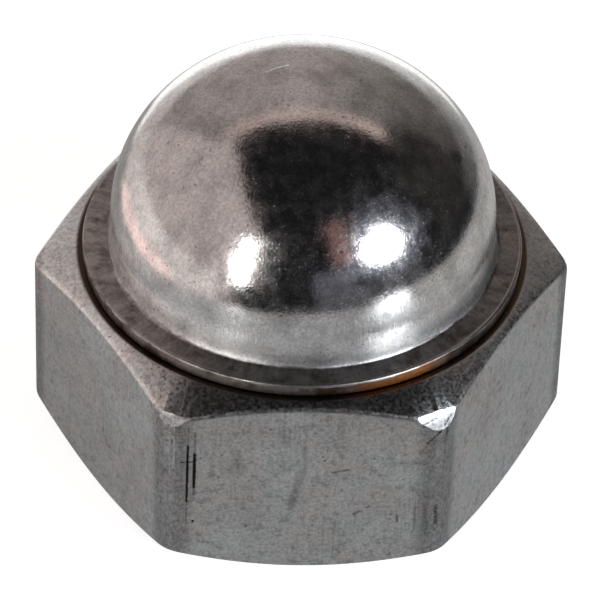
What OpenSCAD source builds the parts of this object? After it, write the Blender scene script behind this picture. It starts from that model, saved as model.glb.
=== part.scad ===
// Hexagon cap nut, M10, of the welded kind: a double-chamfered hexagon nut whose
// mouth is closed by a pressed sheet dome with a narrow out-turned flange.
// The flange is ring-welded to the flat top of the nut.
// Origin: centre of the bearing face. +Z runs along the thread axis to the dome.
// All sizes are in millimetres.

/* [Nut] */
// Width across the flats of the hexagon
across_flats = 17; // [15:0.5:24]
// Height of the hexagon nut without its weld ring
nut_h = 8; // [6:0.5:12]
// Radius on the six upright edges of the hexagon
corner_r = 0.8; // [0.3:0.1:1.5]
// How far the edge of each flat end lies inside the flats
land_inset = 0.3; // [0.1:0.05:0.6]
// Slope of the upper chamfer from the horizontal, in degrees
top_chamfer_angle = 27; // [15:1:35]
// Slope of the lower chamfer from the horizontal, in degrees
bottom_chamfer_angle = 30; // [15:1:35]

/* [Thread hole] */
// Nominal diameter of the thread
thread_d = 10; // [8:1:12]
// Pitch of the thread
thread_pitch = 1.5; // [0.75:0.25:1.75]
// How much wider than the thread each countersink is, on the diameter
countersink_over = 0.4; // [0.1:0.1:1]
// Full angle of both countersinks, in degrees
countersink_angle = 120; // [90:5:120]

/* [Weld] */
// Height of the squashed weld ring that carries the flange
weld_ring_h = 0.06; // [0.02:0.02:0.3]
// Width of the weld ring, measured along the radius
weld_ring_w = 0.5; // [0.3:0.05:0.6]
// Depth of the seam that stays open under the flange's rim
weld_seam = 0.25; // [0.1:0.05:0.35]

/* [Dome cap] */
// Thickness of the pressed sheet
sheet_t = 0.45; // [0.4:0.05:0.8]
// Step from the flange's rim to the edge of the nut's flat top
flange_step = 0.25; // [0.15:0.05:0.6]
// Rounding on the upper edge of the flange's rim
rim_r = 0.1; // [0.05:0.05:0.3]
// How far the flange's rim stands out from the skirt
flange_w = 1; // [0.9:0.05:1.3]
// Radius of the fillet between flange and skirt, on the outside
skirt_fillet_r = 0.15; // [0.1:0.05:0.25]
// Radius of the flare at the foot of the skirt
flare_r = 1.25; // [1:0.05:2]
// Height of the flare over the flange
flare_h = 0.6; // [0.4:0.05:0.8]
// Length of the straight skirt between flare and dome
skirt_h = 0.55; // [0.2:0.05:3]
// Distance of the shoulder arc's centre from the axis
shoulder_offset = 1.45; // [0.5:0.05:2.5]
// How much larger the crown's radius is than the skirt's
crown_excess = 0.6; // [0.2:0.05:2]

/* [Hidden] */
$fn = 96;

// Overlap that lets one cutter run past the face it cuts
past = 0.5;
// Farthest that a chord may lie inside the arc it follows
chord_error = 0.003;

// Nut: flat ends, corners and chamfers
land_r = across_flats / 2 - land_inset;
corner_c = (across_flats / 2 - corner_r) / cos(30);
chamfer_reach = across_flats / 2 / cos(30) + past;
top_drop = (chamfer_reach - land_r) * tan(top_chamfer_angle);
bottom_rise = (chamfer_reach - land_r) * tan(bottom_chamfer_angle);

// Thread hole: the basic minor diameter of an ISO thread, and its countersinks
thread_depth = 5 / 8 * cos(30) * thread_pitch;
minor_r = thread_d / 2 - thread_depth;
countersink_r = (thread_d + countersink_over) / 2;
countersink_h = (countersink_r - minor_r) / tan(countersink_angle / 2);
countersink_flare = past * tan(countersink_angle / 2);

// Weld ring, set in from the flange's rim by the seam
flange_r = land_r - flange_step;
weld_ring_r = flange_r - weld_seam;

// Cap: heights up the axis, and the radii of the skirt, the shoulder and the crown
seat_z = nut_h + weld_ring_h;
flange_top_z = seat_z + sheet_t;
skirt_r = flange_r - flange_w;
flare_z = flange_top_z + flare_h;
flare_angle = asin((flare_h - skirt_fillet_r) / (flare_r - skirt_fillet_r));
shoulder_z = flare_z + skirt_h;
shoulder_r = skirt_r - shoulder_offset;
crown_r = skirt_r + crown_excess;
crown_drop = sqrt(pow(crown_r - shoulder_r, 2) - pow(shoulder_offset, 2));
crown_z = shoulder_z - crown_drop;
crown_angle = atan2(crown_drop, shoulder_offset);

// Points of an arc round centre c, from one angle to another, both ends included
function arc(c, r, from, to) =
    let (steps = ceil(abs(to - from) / (2 * acos(1 - chord_error / r))))
    [for (i = [0:steps]) let (a = from + (to - from) * i / steps) c + r * [cos(a), sin(a)]];

// The same arc without its first point, for one that carries on from another arc
function arc_on(c, r, from, to) =
    let (points = arc(c, r, from, to)) [for (i = [1:len(points) - 1]) points[i]];

// Hexagon with rounded corners, two of its flats facing along Y
module rounded_hexagon() {
    polygon([for (corner = [0:60:300])
        each arc(corner_c * [cos(corner), sin(corner)], corner_r, corner - 30, corner + 30)]);
}

// Turned blank that puts the chamfers on both ends of the hexagon
module chamfered_blank() {
    rotate_extrude() polygon([
        [0, 0],
        [land_r, 0],
        [chamfer_reach, bottom_rise],
        [chamfer_reach, nut_h - top_drop],
        [land_r, nut_h],
        [0, nut_h]]);
}

// What the drill and the two countersinks take away
module thread_hole() {
    translate([0, 0, -past]) cylinder(r = minor_r, h = nut_h + 2 * past);
    for (end = [0, 1])
        translate([0, 0, end * nut_h]) mirror([0, 0, end]) translate([0, 0, -past])
            cylinder(r1 = countersink_r + countersink_flare, r2 = minor_r,
                     h = past + countersink_h);
}

module hex_nut() {
    color("slategray") {
        difference() {
            intersection() {
                linear_extrude(nut_h) rounded_hexagon();
                chamfered_blank();
            }
            thread_hole();
        }
        translate([0, 0, nut_h]) rotate_extrude()
            translate([weld_ring_r - weld_ring_w, 0]) square([weld_ring_w, weld_ring_h]);
    }
}

// Half section of the cap: up the outside from the rim to the crown on the axis,
// then down the inside, one sheet thickness away, and back along the underside
module cap_section() {
    rim_c = [flange_r - rim_r, flange_top_z - rim_r];
    flare_c = [skirt_r + flare_r, flare_z];
    fillet_c = flare_c - (flare_r - skirt_fillet_r) * [cos(flare_angle), sin(flare_angle)];
    shoulder_c = [shoulder_offset, shoulder_z];
    crown_c = [0, crown_z];
    polygon([
        [flange_r, seat_z],
        each arc(rim_c, rim_r, 0, 90),
        each arc(fillet_c, skirt_fillet_r, 270, 180 + flare_angle),
        each arc_on(flare_c, flare_r, 180 + flare_angle, 180),
        each arc(shoulder_c, shoulder_r, 0, crown_angle),
        each arc_on(crown_c, crown_r, crown_angle, 90),
        each arc(crown_c, crown_r - sheet_t, 90, crown_angle),
        each arc_on(shoulder_c, shoulder_r - sheet_t, crown_angle, 0),
        each arc(flare_c, flare_r + sheet_t, 180, 180 + flare_angle),
        each arc_on(fillet_c, skirt_fillet_r + sheet_t, 180 + flare_angle, 270)]);
}

module dome_cap() {
    color("silver") rotate_extrude() cap_section();
}

hex_nut();
dome_cap();
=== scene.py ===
"""Dresses the welded M10 cap nut: a cold-formed hexagon nut and the pressed dome on it.

Each piece is modelled and given its finish by one operator, and one more sets the
studio. All sizes are real ones, in metres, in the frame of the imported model.
"""

import math

import bmesh
import bpy
from bpy.props import FloatProperty, FloatVectorProperty, PointerProperty
from mathutils import Matrix, Vector


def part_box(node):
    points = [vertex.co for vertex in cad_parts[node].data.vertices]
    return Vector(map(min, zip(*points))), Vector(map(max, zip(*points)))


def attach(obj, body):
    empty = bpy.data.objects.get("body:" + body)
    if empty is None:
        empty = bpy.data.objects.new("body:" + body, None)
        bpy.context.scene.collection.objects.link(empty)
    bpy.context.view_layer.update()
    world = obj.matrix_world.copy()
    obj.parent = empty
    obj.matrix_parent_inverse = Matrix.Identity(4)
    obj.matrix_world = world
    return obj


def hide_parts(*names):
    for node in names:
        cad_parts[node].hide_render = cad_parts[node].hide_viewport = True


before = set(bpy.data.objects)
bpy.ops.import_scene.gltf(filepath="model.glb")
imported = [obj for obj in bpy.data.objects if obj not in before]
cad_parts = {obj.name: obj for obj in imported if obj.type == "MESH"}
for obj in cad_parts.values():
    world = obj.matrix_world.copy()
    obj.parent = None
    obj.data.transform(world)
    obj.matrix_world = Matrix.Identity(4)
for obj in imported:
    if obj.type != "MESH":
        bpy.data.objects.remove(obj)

bl_info = {
    "name": "Welded Cap Nut",
    "version": (1, 0, 0),
    "blender": (4, 5, 0),
    "location": "View3D > Sidebar > Cap Nut",
    "description": "Models an M10 cap nut with its thread, weld and worn steel finish",
    "category": "Add Mesh",
}

MM = 0.001
# Closer points are merged, and a tool runs this far past what it cuts.
MERGE, PAST = 0.0002 * MM, 0.5 * MM
# Shares of the hexagon and of the thread's profile, and slope of the countersinks.
COS_30, TAN_30 = math.cos(math.radians(30)), math.tan(math.radians(30))
TAN_60 = math.tan(math.radians(60))

# Marks of wear on the front flat, in mm: both ends (x, z), width and how dark it is.
# Marks up to PATCHY dark are broken up. The numbers in DEEP are cut as grooves too.
MARKS = (
    (-4.12, 7.0, -4.17, 2.3, 0.05, 0.5), (-4.13, 6.1, -4.16, 3.4, 0.09, 0.97),
    (-3.88, 6.7, -3.91, 3.7, 0.12, 0.5), (-3.89, 5.7, -3.91, 4.1, 0.11, 0.97),
    (-4.38, 5.3, -3.84, 5.36, 0.06, 0.85), (-3.92, 2.43, -3.92, 2.39, 0.11, 0.97),
    (-2.02, 2.2, -2.02, 2.18, 0.08, 0.8), (-4.7, 6.35, -4.7, 6.2, 0.07, 0.75),
    (-0.12, 4.83, -0.43, 3.05, 0.32, 0.34), (0.0, 6.3, 0.05, 4.7, 0.16, 0.22),
    (-2.45, 5.8, -2.2, 4.9, 0.4, 0.24), (-0.85, 6.95, -0.7, 6.3, 0.35, 0.22),
    (-3.3, 5.5, -3.25, 4.6, 0.22, 0.25), (2.9, 5.25, 4.3, 5.35, 0.25, 0.22),
    (0.8, 6.1, 0.8, 5.9, 0.06, 0.6), (0.72, 5.45, 0.7, 5.42, 0.08, 0.8),
    (1.0, 4.85, 1.6, 5.0, 0.09, 0.6), (1.85, 2.85, 2.0, 2.95, 0.14, 0.6),
    (3.35, 2.8, 3.38, 2.45, 0.07, 0.7), (4.72, 3.2, 4.76, 2.3, 0.14, 0.75),
    (4.0, 3.2, 4.0, 2.0, 0.09, 0.4), (4.35, 3.3, 4.38, 1.9, 0.16, 0.3),
    (4.3, 6.3, 4.78, 6.85, 0.09, 0.9), (4.9, 7.0, 5.2, 7.3, 0.07, 0.8),
    (5.0, 6.85, 4.98, 6.55, 0.07, 0.85), (4.98, 6.55, 4.8, 6.45, 0.05, 0.6),
    (4.1, 7.2, 4.6, 7.25, 0.06, 0.8))
PATCHY = 0.9
DEEP = (1, 3, 5, 22, 24)
# Knocked corners: x and z in mm, the direction that each faces, and its level along that.
KNOCKS = ((-4.55, 7.3, (-0.41, -0.77, 0.49), 11.83), (4.3, 7.3, (0.376, -0.7285, 0.573), 11.86))
# Painted light and shade on the upper chamfer, darker in front and lighter at the sides:
# two azimuths in degrees, and the factor on its colour at each.
SOOT = ((-35, -27, 2, 0.5), (27, 35, 1, 2.6), (-120, -95, 0.63, 1))
# Where the cap's finish changes, in mm over its flange: oxide in the corner, dull foot,
# foot painted lighter as a painted reflection, and drawn skirt, then the two ends of the part of
# the foot that mirrors the table.
CAP_ZONES = (
    (0.11, 0.04), (0.99, 0.49), (1.49, 0.89), (2.39, 1.79), (1.44, 0.94), (0.34, 0.59))
# Crescent scratch on the crown: places in mm (x, y), and its width. Both tilts are added to
# the surface's normal: upwards at the foot of the skirt, and backwards in the scratch.
SCRATCH = ((-1.46, 0.72), (-1.11, 0.9), (-0.65, 1.03))
SCRATCH_WIDTH, SCRATCH_TILT, FOOT_TILT = 0.05 * MM, 0.55, 0.15

SMOOTH = {"interpolation_type": "SMOOTHSTEP"}
WHITE, BLACK_CLOTH = (1, 1, 1), "#1E1E20"

# The studio. The boards stand FAR away, and LAMP is the round lamp's azimuth and elevation.
FAR, LAMP = 1.2, (49, 23)
# Camera in mm and degrees: the view from a little to the left of the front, from above.
LENS, SENSOR, DISTANCE, LOOKS_AT = 300.05, 36, 182.9018, (-0.0088, 0, 5.4331)
YAW, PITCH, ROLL = 2.42877, 41.81398, 2.00474
# Cloths on the table by azimuth, the round lamp's halo by metres from its line, and the
# board at the back by X in metres.
TABLE = (
    (-180, "#FFFFFF"), (-165, "#FFFAF8"), (-146, "#D8D0CD"), (-128, "#E6DCD8"), (-108, "#FFF6F3"),
    (-80, "#FFF6F3"), (-60, "#F4EAE6"), (-50, "#FAEFEC"), (-32, BLACK_CLOTH), (4, BLACK_CLOTH),
    (10, "#68686E"), (50, "#5A5A60"), (70, "#2A2A2C"), (110, "#2A2A2C"), (135, "#7C7B7A"),
    (150, "#B8B6B4"), (168, "#FFFFFF"), (180, "#FFFFFF"))
HALO = ((0.2, "#B4B8D0"), (0.4, "#85879A"), (0.7, "#45464E"), (0.95, BLACK_CLOTH))
BACK = (
    (-1.7, "#9C9390"), (0.0, "#B0A7A4"), (0.5, "#8A8480"), (1.1, "#6A6562"), (1.7, "#5A5553"))

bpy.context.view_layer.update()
NUT_LOW, NUT_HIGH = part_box("hex_nut")
CAP_LOW, CAP_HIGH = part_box("dome_cap")


def srgb(code):
    """Linear red, green and blue of an sRGB colour written as #RRGGBB."""
    parts = [int(code[i:i + 2], 16) / 255 for i in (1, 3, 5)]
    return [p / 12.92 if p <= 0.04045 else ((p + 0.055) / 1.055) ** 2.4 for p in parts]


class NutSizes(bpy.types.PropertyGroup):
    """Sizes of the hexagon nut."""

    across_flats: FloatProperty(
        name="Across flats", description="Width of the hexagon between two flats",
        default=NUT_HIGH.y - NUT_LOW.y, unit="LENGTH")
    height: FloatProperty(
        name="Height", description="Height of the nut without its weld ring",
        default=8 * MM, unit="LENGTH")
    corner_radius: FloatProperty(
        name="Corner radius", description="Radius on the six upright edges",
        default=0.8 * MM, unit="LENGTH")
    land_inset: FloatProperty(
        name="Land inset", description="How far each flat end lies inside the flats",
        default=0.3 * MM, unit="LENGTH")
    top_chamfer: FloatProperty(
        name="Top chamfer", description="Slope of the upper chamfer",
        default=math.radians(27), unit="ROTATION")
    bottom_chamfer: FloatProperty(
        name="Bottom chamfer", description="Slope of the lower chamfer",
        default=math.radians(30), unit="ROTATION")
    land_edge: FloatProperty(
        name="Land edge", description="Rounding where the land meets its chamfer",
        default=0.03 * MM, min=0, unit="LENGTH")
    edge_radius: FloatProperty(
        name="Edge radius", description="Rounding of the edges of the flats",
        default=0.15 * MM, min=0, unit="LENGTH")
    thread_diameter: FloatProperty(
        name="Thread diameter", description="Nominal diameter of the thread",
        default=10 * MM, unit="LENGTH")
    thread_pitch: FloatProperty(
        name="Thread pitch", description="Rise of one turn of the thread",
        default=1.5 * MM, unit="LENGTH")
    countersink: FloatProperty(
        name="Countersink diameter", description="Mouth of the countersink at each end",
        default=10.4 * MM, unit="LENGTH")
    weld_radius: FloatProperty(
        name="Weld ring radius", description="Outer radius of the squashed weld ring",
        default=7.7 * MM, unit="LENGTH")
    weld_width: FloatProperty(
        name="Weld ring width", description="Width of the weld ring along the radius",
        default=0.5 * MM, unit="LENGTH")


class CapSizes(bpy.types.PropertyGroup):
    """Sizes of the pressed dome."""

    sheet: FloatProperty(
        name="Sheet", description="Thickness of the sheet the dome is pressed from",
        default=0.45 * MM, unit="LENGTH")
    rim_radius: FloatProperty(
        name="Rim rounding", description="Rounding on the upper edge of the flange",
        default=0.1 * MM, unit="LENGTH")
    flange_width: FloatProperty(
        name="Flange width", description="How far the rim stands out from the skirt",
        default=1 * MM, unit="LENGTH")
    fillet: FloatProperty(
        name="Fillet", description="Radius between flange and skirt",
        default=0.15 * MM, unit="LENGTH")
    flare_radius: FloatProperty(
        name="Flare radius", description="Radius of the flare at the foot of the skirt",
        default=1.25 * MM, unit="LENGTH")
    flare_height: FloatProperty(
        name="Flare height", description="Height of the flare over the flange",
        default=0.6 * MM, unit="LENGTH")
    skirt: FloatProperty(
        name="Skirt", description="Length of the straight skirt",
        default=0.55 * MM, unit="LENGTH")
    shoulder_offset: FloatProperty(
        name="Shoulder offset", description="Distance of the shoulder arc's centre from the axis",
        default=1.45 * MM, unit="LENGTH")
    crown_excess: FloatProperty(
        name="Crown excess", description="How much larger the crown's radius is than the skirt's",
        default=0.6 * MM, unit="LENGTH")


class Finishes(bpy.types.PropertyGroup):
    """Colours of the steels."""

    nut_steel: FloatVectorProperty(
        name="Nut steel", description="Colour of the cold-formed steel",
        default=srgb("#B4B6B6"), subtype="COLOR", min=0, max=1)
    cap_steel: FloatVectorProperty(
        name="Cap steel", description="Colour of the polished sheet",
        default=srgb("#D2D0CE"), subtype="COLOR", min=0, max=1)
    skirt_steel: FloatVectorProperty(
        name="Skirt steel", description="Colour of the drawn skirt",
        default=srgb("#CDCDCC"), subtype="COLOR", min=0, max=1)
    nut_tarnish: FloatVectorProperty(
        name="Tarnish", description="Slightly warmer steel in patches on the flats",
        default=srgb("#AFADAB"), subtype="COLOR", min=0, max=1)
    # Brown heat tint, dark enough to stand also for painted shade on the nut's land under the
    # flange's rim.
    heat_tint: FloatVectorProperty(
        name="Heat tint", description="Brown of the steel beside the weld",
        default=srgb("#4C3E33"), subtype="COLOR", min=0, max=1)
    orange_tint: FloatVectorProperty(
        name="Orange tint", description="Straw-brown heat colour at one side of the rim",
        default=srgb("#94613A"), subtype="COLOR", min=0, max=1)
    oxide: FloatVectorProperty(
        name="Oxide", description="Dark skin in the corner that polishing doesn't reach",
        default=srgb("#94908D"), subtype="COLOR", min=0, max=1)
    old_oxide: FloatVectorProperty(
        name="Old oxide", description="Browner patches in the oxide",
        default=srgb("#6E6660"), subtype="COLOR", min=0, max=1)


def nothing_selected():
    """Leaves edit mode and deselects everything."""
    if bpy.context.mode != "OBJECT":
        bpy.ops.object.mode_set(mode="OBJECT")
    bpy.ops.object.select_all(action="DESELECT")


def only(piece):
    """Makes one piece the selected and active object."""
    nothing_selected()
    piece.select_set(True)
    bpy.context.view_layer.objects.active = piece


def named(name):
    """Gives the object that was just added its name, and settles its place in its mesh."""
    piece = bpy.context.object
    piece.name = piece.data.name = name
    bpy.ops.object.transform_apply(location=True, rotation=True, scale=True)
    return piece


def start_outline(name, x, z):
    """Starts an outline in the XZ plane: one point, in edit mode and selected."""
    nothing_selected()
    bpy.ops.mesh.primitive_plane_add(size=MM, location=(x, 0, z))
    piece = named(name)
    bpy.ops.object.mode_set(mode="EDIT")
    bpy.ops.mesh.select_mode(type="VERT")
    bpy.ops.mesh.select_all(action="SELECT")
    bpy.ops.mesh.merge(type="CENTER")
    return piece


def line_by(dx, dz):
    """Carries the outline on by a straight stretch."""
    bpy.ops.mesh.extrude_region_move(TRANSFORM_OT_translate={"value": (dx, 0, dz)})


def arc_about(x, z, angle, chord):
    """Carries the outline on by an arc about (x, z), anticlockwise where angle is above 0."""
    end = selected_point()
    steps = max(2, math.ceil(abs(angle) * math.hypot(end.x - x, end.z - z) / chord))
    bpy.ops.mesh.spin(steps=min(steps, 160), angle=angle, center=(x, 0, z), axis=(0, 1, 0))


def selected_point():
    """Place of the first selected point of the mesh in edit mode."""
    shape = bmesh.from_edit_mesh(bpy.context.object.data)
    return next(v.co.copy() for v in shape.verts if v.select)


def line_to(x, z):
    """Carries the outline on to a place."""
    end = selected_point()
    line_by(x - end.x, z - end.z)


def spin_solid(piece, steps):
    """Spins the finished outline about the thread axis and closes the solid."""
    bpy.ops.mesh.select_all(action="SELECT")
    bpy.ops.mesh.spin(steps=steps, angle=math.tau, center=(0, 0, 0), axis=(0, 0, 1))
    close_solid(piece)
    return piece


def close_solid(piece):
    """Merges the doubles of a shape in edit mode, drops strays, turns its faces outwards."""
    bpy.ops.mesh.select_all(action="SELECT")
    bpy.ops.mesh.remove_doubles(threshold=MERGE)
    bpy.ops.mesh.dissolve_degenerate(threshold=MERGE)
    bpy.ops.mesh.select_all(action="SELECT")
    bpy.ops.mesh.delete_loose()
    bpy.ops.mesh.select_all(action="SELECT")
    bpy.ops.mesh.normals_make_consistent(inside=False)
    bpy.ops.object.mode_set(mode="OBJECT")
    return piece


def cut(piece, tool, how="DIFFERENCE"):
    """Cuts a piece with a closed tool, which is then thrown away."""
    only(piece)
    step = piece.modifiers.new("Cut", "BOOLEAN")
    step.operation, step.solver, step.object = how, "EXACT", tool
    bpy.ops.object.modifier_apply(modifier=step.name)
    bpy.data.objects.remove(tool)
    bpy.ops.object.mode_set(mode="EDIT")
    close_solid(piece)


def hexagon_bar(sizes):
    """Hexagon bar with rounded upright edges, a corner on each side of X."""
    corner = sizes.across_flats / 2 / COS_30
    nothing_selected()
    bpy.ops.mesh.primitive_cylinder_add(
        vertices=6, radius=corner, depth=sizes.height + 2 * PAST,
        location=(0, 0, sizes.height / 2), rotation=(0, 0, math.radians(30)))
    bar = named("welded_nut")
    bpy.ops.object.mode_set(mode="EDIT")
    select_edges(lambda a, b: abs(a.z - b.z) > sizes.height)
    bpy.ops.mesh.bevel(offset=sizes.corner_radius * TAN_30, segments=12)
    bpy.ops.object.mode_set(mode="OBJECT")
    return bar


def select_edges(wanted):
    """Selects the edges whose two ends pass a test."""
    bpy.ops.mesh.select_mode(type="EDGE")
    bpy.ops.mesh.select_all(action="DESELECT")
    shape = bmesh.from_edit_mesh(bpy.context.object.data)
    for edge in shape.edges:
        edge.select_set(wanted(edge.verts[0].co, edge.verts[1].co))
    bmesh.update_edit_mesh(bpy.context.object.data)


def turned_blank(sizes):
    """Turned blank that puts both chamfers and the weld ring on the hexagon bar."""
    land = sizes.across_flats / 2 - sizes.land_inset
    reach = sizes.across_flats / 2 / COS_30 + PAST
    run = reach - land
    blank = start_outline("turned_blank", 0, 0)
    line_to(land, 0)
    line_to(reach, run * math.tan(sizes.bottom_chamfer))
    line_to(reach, sizes.height - run * math.tan(sizes.top_chamfer))
    line_to(land, sizes.height)
    line_to(sizes.weld_radius, sizes.height)
    line_to(sizes.weld_radius, NUT_HIGH.z)
    line_to(sizes.weld_radius - sizes.weld_width, NUT_HIGH.z)
    line_to(sizes.weld_radius - sizes.weld_width, sizes.height)
    line_to(0, sizes.height)
    return spin_solid(blank, 180)


def drill(sizes):
    """Drill for the thread's inner diameter, with a countersink at each end.

    A thread is cut 5/8 as deep as its profile would be with sharp edges.
    """
    bore = sizes.thread_diameter / 2 - 5 / 8 * COS_30 * sizes.thread_pitch
    mouth = sizes.countersink / 2
    depth = (mouth - bore) / TAN_60
    bit = start_outline("drill", 0, -PAST)
    line_to(mouth + PAST * TAN_60, -PAST)
    line_to(bore, depth)
    line_to(bore, sizes.height - depth)
    line_to(mouth, sizes.height)
    line_to(mouth, sizes.height + PAST)
    line_to(0, sizes.height + PAST)
    return spin_solid(bit, 96)


def tap(sizes):
    """Tap that cuts the helical thread: its ridge rises one pitch in a turn."""
    crest, root = sizes.thread_diameter / 2, sizes.thread_diameter / 2 - MM
    flank = (crest - root) * TAN_30
    piece = start_outline("tap", root, -2 * sizes.thread_pitch)
    line_by(0, sizes.thread_pitch * 7 / 8 - 2 * flank)
    line_by(crest - root, flank)
    line_by(0, sizes.thread_pitch / 8)
    line_by(root - crest, flank)
    bpy.ops.object.mode_set(mode="OBJECT")
    step = piece.modifiers.new("Helix", "SCREW")
    step.screw_offset, step.iterations = sizes.thread_pitch, 9
    step.steps = step.render_steps = 96
    bpy.ops.object.modifier_apply(modifier=step.name)
    bpy.ops.object.mode_set(mode="EDIT")
    bpy.ops.mesh.select_all(action="SELECT")
    bpy.ops.mesh.remove_doubles(threshold=MERGE)
    for level, side in ((-PAST, "inner"), (sizes.height + PAST, "outer")):
        bpy.ops.mesh.select_all(action="SELECT")
        bpy.ops.mesh.bisect(
            plane_co=(0, 0, level), plane_no=(0, 0, 1), use_fill=True,
            clear_inner=side == "inner", clear_outer=side == "outer", threshold=MERGE)
    return close_solid(piece)


def select_outer_edges(inside, outside):
    """Selects the sharp edges that lie between two distances from the axis."""
    bpy.ops.mesh.select_mode(type="EDGE")
    bpy.ops.mesh.select_all(action="DESELECT")
    bpy.ops.mesh.edges_select_sharp(sharpness=math.radians(18))
    piece = bpy.context.object
    shape = bmesh.from_edit_mesh(piece.data)
    for edge in shape.edges:
        if edge.select and not inside < min(v.co.xy.length for v in edge.verts) < outside:
            edge.select_set(False)
    bmesh.update_edit_mesh(piece.data)


def soften_edges(piece, sizes):
    """Rounds the nut's outer edges, as tumbling does: the land's a little, the flats' more.

    Edges too short for the rounding are merged first, because they would stop it.
    """
    land = sizes.across_flats / 2 - sizes.land_inset
    beside, short = 0.1 * MM, 0.08 * MM
    between = land + beside
    only(piece)
    bpy.ops.object.mode_set(mode="EDIT")
    for inside, outside, radius in (
            (between, 2 * land, sizes.edge_radius), (land - beside, between, sizes.land_edge)):
        select_outer_edges(inside, outside)
        bpy.ops.mesh.remove_doubles(threshold=short)
        select_outer_edges(inside, outside)
        bpy.ops.mesh.bevel(offset=radius, segments=4, clamp_overlap=True)
    bpy.ops.object.mode_set(mode="OBJECT")


def knock(nut, corner, facing, level):
    """Knocks a corner of the nut flat: nothing stays beyond a level along a direction."""
    facing = Vector(facing).normalized()
    half, grit, ragged = 1.3 * MM, 0.25 * MM, 0.05 * MM
    place = corner + facing * (level - facing.dot(corner) + half)
    nothing_selected()
    bpy.ops.mesh.primitive_cube_add(
        size=2 * half, location=place, rotation=facing.to_track_quat("Z", "Y").to_euler())
    tool = named("knock")
    bpy.ops.object.mode_set(mode="EDIT")
    bpy.ops.mesh.select_all(action="SELECT")
    bpy.ops.mesh.subdivide(number_cuts=24)
    bpy.ops.object.mode_set(mode="OBJECT")
    rough = bpy.data.textures.new("knock", "CLOUDS")
    rough.noise_scale = grit
    step = tool.modifiers.new("Ragged", "DISPLACE")
    step.texture, step.texture_coords, step.strength = rough, "LOCAL", ragged
    bpy.ops.object.modifier_apply(modifier=step.name)
    cut(nut, tool)


def groove(start, end, width):
    """Long thin drop from start to end, to cut a groove or a pit with."""
    nothing_selected()
    bpy.ops.mesh.primitive_uv_sphere_add(segments=12, ring_count=16, radius=width / 2)
    tool = bpy.context.object
    tool.scale.z = 1 + (end - start).length / width
    tool.rotation_euler = (end - start).to_track_quat("Z", "Y").to_euler()
    tool.location = (start + end) / 2
    return named("groove")


def wear(nut, sizes):
    """Cuts the deep scratches and the two knocked corners that this nut has."""
    face = -sizes.across_flats / 2
    tools = []
    for number in DEEP:
        x0, z0, x1, z1, width, _ = (value * MM for value in MARKS[number])
        tools.append(groove(Vector((x0, face, z0)), Vector((x1, face, z1)), width))
    nothing_selected()
    for tool in tools:
        tool.select_set(True)
    bpy.context.view_layer.objects.active = tools[0]
    bpy.ops.object.join()
    cut(nut, tools[0])
    for x, z, facing, level in KNOCKS:
        knock(nut, Vector((x * MM, face, z * MM)), facing, level * MM)


def smooth(piece, degrees=30):
    """Shades a finished piece smooth, apart from its sharp edges."""
    only(piece)
    bpy.ops.object.shade_smooth_by_angle(angle=math.radians(degrees))


class CAPNUT_OT_nut(bpy.types.Operator):
    """Model the hexagon nut with its chamfers, thread and weld ring"""

    bl_idname = "capnut.nut"
    bl_label = "Hexagon Nut"
    bl_options = {"REGISTER", "UNDO"}

    def execute(self, context):
        sizes = context.scene.nut_sizes
        nut = hexagon_bar(sizes)
        cut(nut, turned_blank(sizes), "INTERSECT")
        soften_edges(nut, sizes)
        cut(nut, drill(sizes))
        cut(nut, tap(sizes))
        wear(nut, sizes)
        smooth(nut)
        nut.data.materials.clear()
        nut.data.materials.append(cold_formed_stainless(context.scene.finishes, sizes))
        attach(nut, "root")
        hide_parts("hex_nut")
        return {"FINISHED"}


class CAPNUT_OT_cap(bpy.types.Operator):
    """Model the pressed dome with its skirt and flange"""

    bl_idname = "capnut.cap"
    bl_label = "Pressed Dome"
    bl_options = {"REGISTER", "UNDO"}

    def execute(self, context):
        sizes = context.scene.cap_sizes
        cap = pressed_dome(sizes)
        smooth(cap, 40)
        cap.data.materials.clear()
        cap.data.materials.append(polished_stainless(context.scene.finishes, sizes))
        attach(cap, "root")
        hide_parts("dome_cap")
        return {"FINISHED"}


def pressed_dome(sizes):
    """Spins the sheet's section: up the outside to the crown and back down the inside."""
    flange, seat = CAP_HIGH.x, CAP_LOW.z
    top = seat + sizes.sheet
    skirt = flange - sizes.flange_width
    bend = sizes.flare_radius - sizes.fillet
    flare_x, flare_z = skirt + sizes.flare_radius, top + sizes.flare_height
    lean = math.asin((sizes.flare_height - sizes.fillet) / bend)
    fillet_x, fillet_z = flare_x - bend * math.cos(lean), top + sizes.fillet
    shoulder_z = flare_z + sizes.skirt
    shoulder = skirt - sizes.shoulder_offset
    crown = skirt + sizes.crown_excess
    drop = math.sqrt((crown - shoulder) ** 2 - sizes.shoulder_offset ** 2)
    crown_z = shoulder_z - drop
    turn = math.atan2(drop, sizes.shoulder_offset)
    quarter = math.pi / 2
    cap = start_outline("pressed_cap", flange, seat)
    line_to(flange, top - sizes.rim_radius)
    arc_about(flange - sizes.rim_radius, top - sizes.rim_radius, quarter, chord=0.03 * MM)
    line_to(fillet_x, top)
    arc_about(fillet_x, fillet_z, lean - quarter, chord=0.03 * MM)
    arc_about(flare_x, flare_z, -lean, chord=0.06 * MM)
    line_to(skirt, shoulder_z)
    arc_about(sizes.shoulder_offset, shoulder_z, turn, chord=0.15 * MM)
    arc_about(0, crown_z, quarter - turn, chord=0.15 * MM)
    line_by(0, -sizes.sheet)
    arc_about(0, crown_z, turn - quarter, chord=0.3 * MM)
    arc_about(sizes.shoulder_offset, shoulder_z, -turn, chord=0.3 * MM)
    line_to(skirt - sizes.sheet, flare_z)
    arc_about(flare_x, flare_z, lean, chord=0.15 * MM)
    arc_about(fillet_x, fillet_z, quarter - lean, chord=0.1 * MM)
    line_to(flange, seat)
    return spin_solid(cap, 256)


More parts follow.
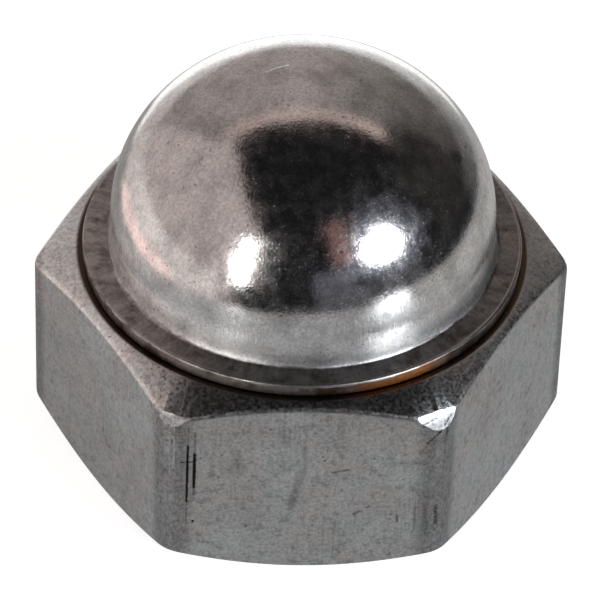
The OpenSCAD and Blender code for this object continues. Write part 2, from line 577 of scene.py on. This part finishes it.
def add_node(tree, kind, inputs=(), **settings):
    """Adds a node and gives its outputs.

    inputs holds what goes into its sockets, in their order, or by number or name: a value,
    or the output that feeds the socket.
    """
    node = tree.nodes.new("ShaderNode" + kind)
    for name, value in settings.items():
        setattr(node, name, value)
    for name, value in inputs.items() if isinstance(inputs, dict) else enumerate(inputs):
        socket = node.inputs[name]
        if isinstance(value, bpy.types.NodeSocket):
            tree.links.new(value, socket)
        else:
            socket.default_value = (*value, 1) if socket.type == "RGBA" else value
    return node.outputs


def in_turn(tree, kind, values, **settings):
    """Joins several values by nodes of one kind, two at a time, such as to multiply them."""
    result, *others = values
    for other in others:
        result = add_node(tree, kind, (result, other), **settings)[0]
    return result


def new_tree(name):
    """Node material without nodes, and its tree."""
    material = bpy.data.materials.new(name)
    material.use_nodes = True
    material.node_tree.nodes.clear()
    return material, material.node_tree


def places(tree):
    """Object coordinates, their three parts, and the distance from the thread axis."""
    place = add_node(tree, "TexCoord")["Object"]
    x, y, z = add_node(tree, "SeparateXYZ", (place,))
    flat = add_node(tree, "CombineXYZ", (x, y))[0]
    radius = add_node(tree, "VectorMath", (flat,), operation="LENGTH")["Value"]
    return place, x, y, z, radius


def azimuth_of(tree):
    """Azimuth of a place in degrees, 0 in front of the nut and growing towards +X."""
    _, x, y, _, _ = places(tree)
    front = add_node(tree, "Math", (y, -1), operation="MULTIPLY")[0]
    turn = add_node(tree, "Math", (x, front), operation="ARCTAN2")[0]
    return add_node(tree, "Math", (turn,), operation="DEGREES")[0]


def mottle(tree, place, size, start, end, low=0.0, high=1.0, detail=3.0, stretch=(1, 1, 1)):
    """Patches of a real size: low where noise is under start, high where it is over end."""
    place = add_node(tree, "Mapping", {"Vector": place, "Scale": stretch})[0]
    noise = add_node(tree, "TexNoise", {
        "Vector": place, "Scale": 1 / size, "Detail": detail, "Roughness": 0.6})[0]
    return add_node(tree, "MapRange", (noise, start, end, low, high), **SMOOTH)[0]


def on_line(tree, flat, start, end, width):
    """1 along a line, fading to 0 between 0.1 and 0.8 of its width on each side."""
    along = Vector(end) - Vector(start)
    per_length = along / along.length_squared
    off = add_node(tree, "VectorMath", (flat, start), operation="SUBTRACT")[0]
    share = add_node(tree, "VectorMath", (off, per_length), operation="DOT_PRODUCT")["Value"]
    share = add_node(tree, "Clamp", (share,))[0]
    nearest = add_node(tree, "VectorMath", {0: along, 3: share}, operation="SCALE")[0]
    away = add_node(tree, "VectorMath", (off, nearest), operation="DISTANCE")["Value"]
    return add_node(tree, "MapRange", (away, 0.8 * width, 0.1 * width), **SMOOTH)[0]


def worn_marks(tree, place, x, z):
    """How much light the marks on the front flat leave, 1 beside them."""
    waver_size, waver, patch_size = 0.12 * MM, 0.06 * MM, 0.09 * MM
    flat = add_node(tree, "CombineXYZ", {"X": x, "Z": z})[0]
    noise = add_node(tree, "TexNoise", {"Vector": place, "Scale": 1 / waver_size})["Color"]
    noise = add_node(tree, "VectorMath", (noise, (0.5, 0.5, 0.5)), operation="SUBTRACT")[0]
    flat = add_node(
        tree, "VectorMath", (noise, (waver, 0, waver), flat), operation="MULTIPLY_ADD")[0]
    patchy = mottle(tree, place, patch_size, 0.32, 0.55, 0.45, 1.0)
    light = []
    for x0, z0, x1, z1, width, dark in MARKS:
        line = on_line(tree, flat, (x0 * MM, 0, z0 * MM), (x1 * MM, 0, z1 * MM), width * MM)
        if dark <= PATCHY:
            line = add_node(tree, "Math", (line, patchy), operation="MULTIPLY")[0]
        light.append(add_node(tree, "Math", (line, -dark, 1), operation="MULTIPLY_ADD")[0])
    return in_turn(tree, "Math", light, operation="MULTIPLY")


def turned_end(tree, level, radius, top, land, slope):
    """1 on a turned end: on its flat land at the level top, and on the chamfer round it."""
    fade, skin = 0.1 * MM, 0.02 * MM
    out = add_node(tree, "Math", (radius, -land), operation="ADD")[0]
    cone = add_node(tree, "Math", (out, math.tan(slope), level), operation="MULTIPLY_ADD")[0]
    chamfer = add_node(tree, "MapRange", (cone, top - fade, top - skin), **SMOOTH)[0]
    flat = add_node(tree, "MapRange", (level, top - 0.8 * fade, top - skin), **SMOOTH)[0]
    return add_node(tree, "Math", (chamfer, flat), operation="MAXIMUM")[0]


def cold_formed_stainless(finishes, sizes):
    """Cold-formed stainless steel, tumbled and pickled.

    The flats keep the satin of the die, which blurs what it reflects to a plain grey,
    with fine pits, rubbed streaks along the draw and a smoother turned chamfer. Its real
    grain of some 0.03 mm wouldn't show, so it is drawn at 0.12 mm.
    """
    material, tree = new_tree("cold_formed_stainless")
    place, x, y, z, radius = places(tree)
    angle = azimuth_of(tree)
    face = sizes.across_flats / 2
    land, top = face - sizes.land_inset, sizes.height
    thread = sizes.thread_diameter / 2
    turned = turned_end(tree, z, radius, top, land, sizes.top_chamfer)
    down = add_node(tree, "Math", (z, -1), operation="MULTIPLY")[0]
    under = turned_end(tree, down, radius, 0, land, sizes.bottom_chamfer)
    bore = add_node(
        tree, "MapRange", (radius, thread + 0.4 * MM, thread + 0.3 * MM), **SMOOTH)[0]
    smooth_zone = in_turn(tree, "Math", (turned, under, bore), operation="MAXIMUM")
    front = add_node(tree, "MapRange", (y, 0.6 * MM - face, 0.5 * MM - face), **SMOOTH)[0]
    edge = add_node(
        tree, "MapRange", (radius, NUT_HIGH.x - 0.39 * MM, NUT_HIGH.x - 0.14 * MM), **SMOOTH)[0]

    blotches = mottle(tree, place, 0.9 * MM, 0.35, 0.62, 0.88, 1.04, 6)
    grain = mottle(tree, place, 0.12 * MM, 0.3, 0.7, 0.78, 1.14, 3)
    pits = mottle(tree, place, 0.18 * MM, 0.7, 0.76, 1.0, 0.5, 1)
    clouds = mottle(tree, place, 0.3 * MM, 0.52, 0.68, 1.0, 0.74, 4)
    draw = mottle(tree, place, 0.1 * MM, 0.42, 0.68, 0.0, -0.18, 2, stretch=(1, 1, 0.04))
    drawn = mottle(tree, place, 2.2 * MM, 0.48, 0.62, 0.0, 1.0, 2)
    streaks = add_node(tree, "Math", (drawn, draw, 1.0), operation="MULTIPLY_ADD")[0]
    marks = add_node(tree, "Mix", {0: front, 2: 1.0, 3: worn_marks(tree, place, x, z)})[0]
    # Near the upright corners the colour is darkened in patches: partly scuffs, partly painted
    # shade where the rounding would catch the lamp.
    scuffs = mottle(tree, place, 0.1 * MM, 0.35, 0.7, 0.72, 0.48, 3, stretch=(1, 1, 0.6))
    scuffed = add_node(tree, "Mix", {0: edge, 2: 1.0, 3: scuffs})[0]
    # Painted light and shade: the chamfer's colour is darker in front and lighter at the sides.
    soot = in_turn(
        tree, "Math", [add_node(tree, "MapRange", (angle, *row), **SMOOTH)[0] for row in SOOT],
        operation="MULTIPLY")
    sooted = add_node(tree, "Mix", {0: turned, 2: 1.0, 3: soot})[0]
    warm = mottle(tree, place, 1.8 * MM, 0.4, 0.6, 0.0, 1.0, 2)
    colour = add_node(tree, "Mix", {
        0: warm, 6: finishes.nut_steel, 7: finishes.nut_tarnish}, data_type="RGBA")[2]
    colour = in_turn(
        tree, "VectorMath",
        (colour, blotches, grain, pits, clouds, streaks, marks, scuffed, sooted),
        operation="MULTIPLY")
    # Brown heat tint on the land round the weld, darkened also as painted shade in the gap under
    # the flange's rim.
    flat_top = add_node(tree, "MapRange", (z, top - 0.1 * MM, top - 0.02 * MM), **SMOOTH)[0]
    by_weld = add_node(tree, "MapRange", (radius, land + 0.05 * MM, land - 0.1 * MM), **SMOOTH)[0]
    heat = add_node(tree, "Math", (flat_top, by_weld), operation="MULTIPLY")[0]
    colour = add_node(
        tree, "Mix", {0: heat, 6: colour, 7: finishes.heat_tint}, data_type="RGBA")[2]
    rough = mottle(tree, place, 0.3 * MM, 0.3, 0.7, 0.28, 0.38)
    turned_rough = mottle(tree, place, 0.12 * MM, 0.3, 0.75, 0.26, 0.42)
    for zone, value in ((smooth_zone, turned_rough), (edge, 0.5)):
        rough = add_node(tree, "Mix", {0: zone, 2: rough, 3: value})[0]
    normal = add_node(tree, "Bump", {"Height": grain, "Distance": 0.008 * MM, "Strength": 1.0})[0]
    steel = add_node(tree, "BsdfPrincipled", {
        "Base Color": colour, "Metallic": 1.0, "Roughness": rough, "Normal": normal})
    add_node(tree, "OutputMaterial", {"Surface": steel["BSDF"]})
    return material


def polished_stainless(finishes, sizes):
    """Stainless sheet, pressed and then tumble-polished.

    The dome is nearly a mirror with a fine orange peel, the drawn skirt keeps upright
    rub marks, and the corner that polishing doesn't reach keeps the weld's dark oxide.
    The rub marks are really some 0.02 mm wide, and are drawn at 0.07 mm so that they show.
    """
    material, tree = new_tree("polished_stainless")
    place, x, y, z, radius = places(tree)
    angle = azimuth_of(tree)
    wander = mottle(tree, place, 1.5 * MM, 0.3, 0.7, -0.05 * MM, 0.05 * MM, 3)
    over_seat = add_node(tree, "Math", (z, -CAP_LOW.z - sizes.sheet), operation="ADD")[0]
    level = add_node(tree, "Math", (over_seat, wander), operation="ADD")[0]
    corner, foot, rubbed_zone, skirt, tilt_top, tilt_foot = (
        add_node(tree, "MapRange", (level, start * MM, end * MM), **SMOOTH)[0]
        for start, end in CAP_ZONES)
    worn_to = add_node(tree, "MapRange", (angle, -60, -5, -0.06 * MM, -0.085 * MM), **SMOOTH)[0]
    over = add_node(tree, "Math", (level, worn_to), operation="SUBTRACT")[0]
    side = add_node(tree, "MapRange", (over, 0.03 * MM, -0.03 * MM), **SMOOTH)[0]
    above = add_node(tree, "MapRange", (over, 0, 0.06 * MM), **SMOOTH)[0]
    rim = add_node(
        tree, "MapRange", (radius, CAP_HIGH.x - 0.15 * MM, CAP_HIGH.x - 0.09 * MM), **SMOOTH)[0]
    edge = add_node(tree, "Math", (rim, above), operation="MULTIPLY")[0]
    orange_from = add_node(tree, "MapRange", (angle, 8, 18), **SMOOTH)[0]
    orange_to = add_node(tree, "MapRange", (angle, 42, 30), **SMOOTH)[0]
    orange = add_node(tree, "Math", (orange_from, orange_to), operation="MULTIPLY")[0]
    unrolled = add_node(tree, "Math", (angle, math.radians(7.5 * MM)), operation="MULTIPLY")[0]
    polar = add_node(tree, "CombineXYZ", (unrolled, radius, z))[0]

    blotches = mottle(tree, place, 1.0 * MM, 0.3, 0.65, 0.72, 1.06, 7)
    grain = mottle(tree, place, 0.11 * MM, 0.3, 0.7, 0.78, 1.12, 4)
    specks = mottle(tree, place, 0.16 * MM, 0.69, 0.76, 1.0, 0.45, 1)
    # Painted reflection: the foot of the skirt is made lighter, more at the sides than in front.
    aside = add_node(tree, "Math", (angle,), operation="ABSOLUTE")[0]
    bright = add_node(tree, "MapRange", (aside, 10, 40, 1.05, 1.18), **SMOOTH)[0]
    rubbed_foot = add_node(tree, "Mix", {0: rubbed_zone, 2: 1.0, 3: bright})[0]
    colour = add_node(tree, "Mix", {
        0: skirt, 6: finishes.cap_steel, 7: finishes.skirt_steel}, data_type="RGBA")[2]
    colour = in_turn(
        tree, "VectorMath", (colour, blotches, grain, specks, rubbed_foot), operation="MULTIPLY")
    oxide = add_node(tree, "Mix", {
        0: mottle(tree, place, 0.7 * MM, 0.5, 0.7), 6: finishes.oxide, 7: finishes.old_oxide},
        data_type="RGBA")[2]
    # Painted light: the oxide in the corner is made lighter on the left and darker on the right.
    round_it = add_node(tree, "MapRange", (angle, -75, 60, 1.35, 0.75), **SMOOTH)[0]
    rings = mottle(tree, polar, 0.5 * MM, 0.35, 0.65, 0.65, 1.15, 5, stretch=(1, 0.3, 1))
    oxide = in_turn(tree, "VectorMath", (oxide, grain, round_it, rings), operation="MULTIPLY")
    brown = add_node(tree, "Mix", {
        0: mottle(tree, place, 1.2 * MM, 0.4, 0.6, 0.0, 0.6), 6: finishes.heat_tint,
        7: finishes.oxide}, data_type="RGBA")[2]
    brown = add_node(
        tree, "Mix", {0: orange, 6: brown, 7: finishes.orange_tint}, data_type="RGBA")[2]
    brown = add_node(tree, "VectorMath", (brown, grain), operation="MULTIPLY")[0]
    worn = add_node(
        tree, "Mix", {0: 0.65, 6: finishes.cap_steel, 7: finishes.oxide}, data_type="RGBA")[2]
    worn = add_node(tree, "VectorMath", (worn, grain), operation="MULTIPLY")[0]
    for zone, tone in ((corner, oxide), (side, brown), (edge, worn)):
        colour = add_node(tree, "Mix", {0: zone, 6: colour, 7: tone}, data_type="RGBA")[2]

    mirror = mottle(tree, place, 0.5 * MM, 0.3, 0.7, 0.12, 0.19)
    dull = mottle(tree, place, 0.09 * MM, 0.55, 0.75, 0.0, 0.12)
    rough = add_node(tree, "Math", (mirror, dull), operation="ADD")[0]
    rubbed = mottle(tree, polar, 0.08 * MM, 0.3, 0.7, 0.24, 0.34, 2, stretch=(1, 1, 0.1))
    for zone, value in ((skirt, rubbed), (foot, 0.4), (corner, 0.36), (side, 0.4), (edge, 0.3)):
        rough = add_node(tree, "Mix", {0: zone, 2: rough, 3: value})[0]

    peel = mottle(tree, place, 0.1 * MM, 0.2, 0.8, 0, 1, 2)
    normal = add_node(tree, "Bump", {"Height": peel, "Distance": 0.0015 * MM, "Strength": 1.0})[0]
    rub = mottle(tree, place, 0.07 * MM, 0.3, 0.7, 0, 1, 2, stretch=(1, 1, 0.1))
    rub = add_node(tree, "Math", (rub, skirt), operation="MULTIPLY")[0]
    normal = add_node(tree, "Bump", {
        "Height": rub, "Distance": 0.002 * MM, "Strength": 1.0, "Normal": normal})[0]
    tilt = in_turn(tree, "Math", (tilt_top, tilt_foot, FOOT_TILT), operation="MULTIPLY")
    crown = CAP_HIGH.z - 0.76 * MM
    below = add_node(tree, "MapRange", (z, crown - MM, crown, 1, 0), **SMOOTH)[0]
    flat = add_node(tree, "CombineXYZ", (x, y, below))[0]
    scratch = in_turn(tree, "Math", [
        on_line(tree, flat, (a * MM, b * MM, 0), (c * MM, d * MM, 0), SCRATCH_WIDTH)
        for (a, b), (c, d) in zip(SCRATCH, SCRATCH[1:])], operation="MAXIMUM")
    lean = add_node(tree, "Math", (scratch, SCRATCH_TILT), operation="MULTIPLY")[0]
    lean = add_node(tree, "CombineXYZ", {"Y": lean, "Z": tilt})[0]
    normal = add_node(tree, "VectorMath", (normal, lean), operation="ADD")[0]
    normal = add_node(tree, "VectorMath", (normal,), operation="NORMALIZE")[0]
    steel = add_node(tree, "BsdfPrincipled", {
        "Base Color": colour, "Metallic": 1.0, "Roughness": rough, "Normal": normal})
    add_node(tree, "OutputMaterial", {"Surface": steel["BSDF"]})
    return material


def white_where_seen(tree):
    """1 where the camera, metal or glass looks at a surface, 0 where it only lights others."""
    path = add_node(tree, "LightPath")
    seen = [path[kind] for kind in ("Is Camera Ray", "Is Glossy Ray", "Is Transmission Ray")]
    return in_turn(tree, "Math", seen, operation="MAXIMUM")


def white_paper():
    """White paper: lit as paper is, and topped up to white where it is seen."""
    material, tree = new_tree("white_paper")
    lit, top_up = 0.7, 0.74
    paper = add_node(tree, "BsdfDiffuse", {"Color": (lit, lit, lit)})[0]
    strength = add_node(tree, "Math", (white_where_seen(tree), top_up), operation="MULTIPLY")[0]
    glowing = add_node(tree, "Emission", {"Color": WHITE, "Strength": strength})[0]
    both = add_node(tree, "AddShader", (paper, glowing))[0]
    add_node(tree, "OutputMaterial", {"Surface": both})
    return material


def grey_acrylic():
    """Grey acrylic light table: glows a little, and holds a weak mirror image of the lamps."""
    material, tree = new_tree("grey_acrylic")
    plate = add_node(tree, "BsdfPrincipled", {
        "Base Color": srgb("#B0B0B0"), "Roughness": 0.1, "Emission Color": WHITE,
        "Emission Strength": 0.25})["BSDF"]
    add_node(tree, "OutputMaterial", {"Surface": plate})
    return material


def glow(name, colour, strength=1.0):
    """Evenly lit surface of one colour."""
    material, tree = new_tree(name)
    light = add_node(tree, "Emission", {"Color": srgb(colour), "Strength": strength})[0]
    add_node(tree, "OutputMaterial", {"Surface": light})
    return material


def shaded(name, value, stops):
    """Glow whose colour follows a value: stops holds a value and the sRGB colour there."""
    material, tree = new_tree(name)
    low, high = stops[0][0], stops[-1][0]
    share = add_node(tree, "MapRange", (value(tree), low, high))[0]
    band = add_node(tree, "ValToRGB", (share,))[0]
    elements = band.node.color_ramp.elements
    for number, (at, colour) in enumerate(stops):
        place = (at - low) / (high - low)
        stop = elements[number] if number < 2 else elements.new(place)
        stop.position, stop.color = place, (*srgb(colour), 1)
    light = add_node(tree, "Emission", {"Color": band})[0]
    add_node(tree, "OutputMaterial", {"Surface": light})
    return material


def away_from_lamp(tree):
    """Distance of a place from the line that the round lamp shines along."""
    place = add_node(tree, "TexCoord")["Object"]
    out = aim(*LAMP, 1, Vector()).to_translation()
    along = add_node(tree, "VectorMath", (place, out), operation="PROJECT")[0]
    return add_node(tree, "VectorMath", (place, along), operation="DISTANCE")["Value"]


def across(tree):
    """X of a place."""
    return places(tree)[1]


def white_world(scene):
    """World that is white where it is seen, and a dim fill for the rest."""
    world = bpy.data.worlds.new("white_world")
    world.use_nodes = True
    scene.world = world
    tree = world.node_tree
    tree.nodes.clear()
    fill = 0.25
    strength = add_node(tree, "MapRange", (white_where_seen(tree), 0, 1, fill, 1), **SMOOTH)[0]
    sky = add_node(tree, "Background", {"Color": WHITE, "Strength": strength})[0]
    add_node(tree, "OutputWorld", {"Surface": sky})


def aim(azimuth, elevation, distance, centre):
    """Place and turn of something that faces centre from azimuth, 0 in front of the nut."""
    a, e = math.radians(azimuth), math.radians(elevation)
    out = Vector((math.sin(a) * math.cos(e), -math.cos(a) * math.cos(e), math.sin(e)))
    return Matrix.LocRotScale(centre + out * distance, out.to_track_quat("Z", "Y"), None)


def area_lamp(name, place, width, height, radiance, colour, shape="RECTANGLE"):
    """Soft lamp of a known radiance, which the camera doesn't see."""
    lamp = bpy.data.lights.new(name, "AREA")
    lamp.shape, lamp.size, lamp.size_y, lamp.color = shape, width, height, colour
    area = width * height * (math.pi / 4 if shape == "ELLIPSE" else 1)
    lamp.energy = radiance * math.pi * area
    holder = bpy.data.objects.new(name, lamp)
    bpy.context.scene.collection.objects.link(holder)
    holder.matrix_world = place
    holder.visible_camera = False


def for_the_metal(piece, material, diffuse=False):
    """Makes a piece of the stage that the metal shows, and the camera doesn't see."""
    piece.data.materials.append(material)
    piece.visible_camera = piece.visible_shadow = False
    piece.visible_diffuse = diffuse


def card(name, place, width, height, material, diffuse=True):
    """Flat card beside the nut."""
    nothing_selected()
    bpy.ops.mesh.primitive_plane_add(size=1)
    piece = bpy.context.object
    piece.name = name
    piece.data.transform(place @ Matrix.Diagonal((width, height, 1, 1)))
    for_the_metal(piece, material, diffuse)


def turned_about(degrees, axis):
    """Turn by an angle in degrees about an axis."""
    return Matrix.Rotation(math.radians(degrees), 4, axis)


class CAPNUT_OT_stage(bpy.types.Operator):
    """Set the floor, the cards, the lamps and the camera"""

    bl_idname = "capnut.stage"
    bl_label = "Studio"
    bl_options = {"REGISTER", "UNDO"}

    def execute(self, context):
        scene = context.scene
        centre = Vector((0, 0, 11 * MM))
        white_world(scene)
        nothing_selected()
        bpy.ops.mesh.primitive_plane_add(size=4, location=(0, 0, -0.03 * MM))
        floor = named("floor")
        floor.data.materials.append(white_paper())

        nothing_selected()
        bpy.ops.mesh.primitive_uv_sphere_add(segments=48, ring_count=24, radius=3.5)
        for_the_metal(named("black_booth"), glow("black_cloth", BLACK_CLOTH))
        for name, radius, x, drop, material in (
                ("table", 1.85, 0, 0.02 * MM, shaded("table_cloths", azimuth_of, TABLE)),
                ("grey_plate", 43 * MM, 9 * MM, 0.01 * MM, grey_acrylic())):
            nothing_selected()
            bpy.ops.mesh.primitive_circle_add(
                vertices=96, radius=radius, fill_type="NGON", location=(x, 0, -drop))
            for_the_metal(named(name), material)

        # Its lower edge is level with the nut.
        left = aim(-90, 0, FAR, centre) @ Matrix.Translation((0, 0.75 * FAR, 0))
        card("left_board", left, 4 * FAR, 1.5 * FAR, glow("left_grey", "#CCBFBC"))
        # Boards: azimuth, elevation, distance, width and height.
        for name, azimuth, elevation, distance, width, height, material in (
                ("back_board", 180, 33, FAR, 3.4, 1.7, shaded("back_grey", across, BACK)),
                ("back_edge", 180, 64, 0.98 * FAR, 1.7, 0.17, glow("back_edge", "#DAC4BE")),
                ("halo", *LAMP, 1.3 * FAR, 2, 2, shaded("halo", away_from_lamp, HALO)),
                ("warm_card", 23.5, 35, FAR, 0.24, 0.6, glow("warm_card", "#9C7874")),
                ("cool_card", 16, 2, FAR, 0.45, 0.55, glow("cool_card", "#70707C")),
                ("right_board", 106, 20, 1.1 * FAR, 0.85, 1.25, glow("right_board", "#353231"))):
            card(name, aim(azimuth, elevation, distance, centre), width, height, material)
        # Sheets that lie on the table: azimuth, distance, width and length in mm, and glow.
        for name, azimuth, distance, width, length, colour, strength in (
                ("right_sheet", 98, 29, 44, 22, "#C2C0BE", 1),
                ("back_strip", -177, 95, 44, 130, "#FFFFFF", 1.6),
                ("left_shade", -141, 24, 15, 20, "#A3A09E", 1),
                ("low_strip", -99, 34, 31, 15, "#FFE4DD", 1.5)):
            place = turned_about(azimuth, "Z") @ Matrix.Translation((0, -distance * MM, 0))
            card(name, place, width * MM, length * MM, glow(name, colour, strength), False)
        lamp = aim(*LAMP, FAR, centre)
        area_lamp("round_lamp", lamp, 0.42, 0.42, 22, (0.92, 0.96, 1), "ELLIPSE")
        area_lamp("strip_lamp", aim(-36.5, 12.5, FAR, centre), 0.11, 0.82, 17, WHITE)

        eye = bpy.data.cameras.new("camera")
        holder = bpy.data.objects.new("camera", eye)
        scene.collection.objects.link(holder)
        scene.camera = holder
        eye.lens, eye.sensor_width = LENS, SENSOR
        eye.clip_start, eye.clip_end = 10 * MM, 10
        turn = turned_about(-YAW, "Z") @ turned_about(90 - PITCH, "X") @ turned_about(ROLL, "Z")
        back = Matrix.Translation((0, 0, DISTANCE * MM))
        holder.matrix_world = Matrix.Translation(Vector(LOOKS_AT) * MM) @ turn @ back
        scene.view_settings.view_transform = "Standard"
        return {"FINISHED"}


class CAPNUT_PT_panel(bpy.types.Panel):
    """Sidebar panel with the sizes and the steps"""

    bl_label = "Cap Nut"
    bl_idname = "CAPNUT_PT_panel"
    bl_space_type = "VIEW_3D"
    bl_region_type = "UI"
    bl_category = "Cap Nut"

    def draw(self, context):
        for (name, group), operator in zip(GROUPS.items(), OPERATORS):
            for prop in group.__annotations__:
                self.layout.prop(getattr(context.scene, name), prop)
            self.layout.operator(operator.bl_idname)


GROUPS = {"nut_sizes": NutSizes, "cap_sizes": CapSizes, "finishes": Finishes}
OPERATORS = (CAPNUT_OT_nut, CAPNUT_OT_cap, CAPNUT_OT_stage)


def register():
    for group in GROUPS.values():
        bpy.utils.register_class(group)
    for name, group in GROUPS.items():
        setattr(bpy.types.Scene, name, PointerProperty(type=group))
    for item in (*OPERATORS, CAPNUT_PT_panel):
        bpy.utils.register_class(item)


def unregister():
    for item in (CAPNUT_PT_panel, *reversed(OPERATORS)):
        bpy.utils.unregister_class(item)
    for name in GROUPS:
        delattr(bpy.types.Scene, name)
    for group in reversed(GROUPS.values()):
        bpy.utils.unregister_class(group)


def main():
    register()
    bpy.ops.capnut.nut()
    bpy.ops.capnut.cap()
    bpy.ops.capnut.stage()
    nothing_selected()


if __name__ == "__main__":
    main()
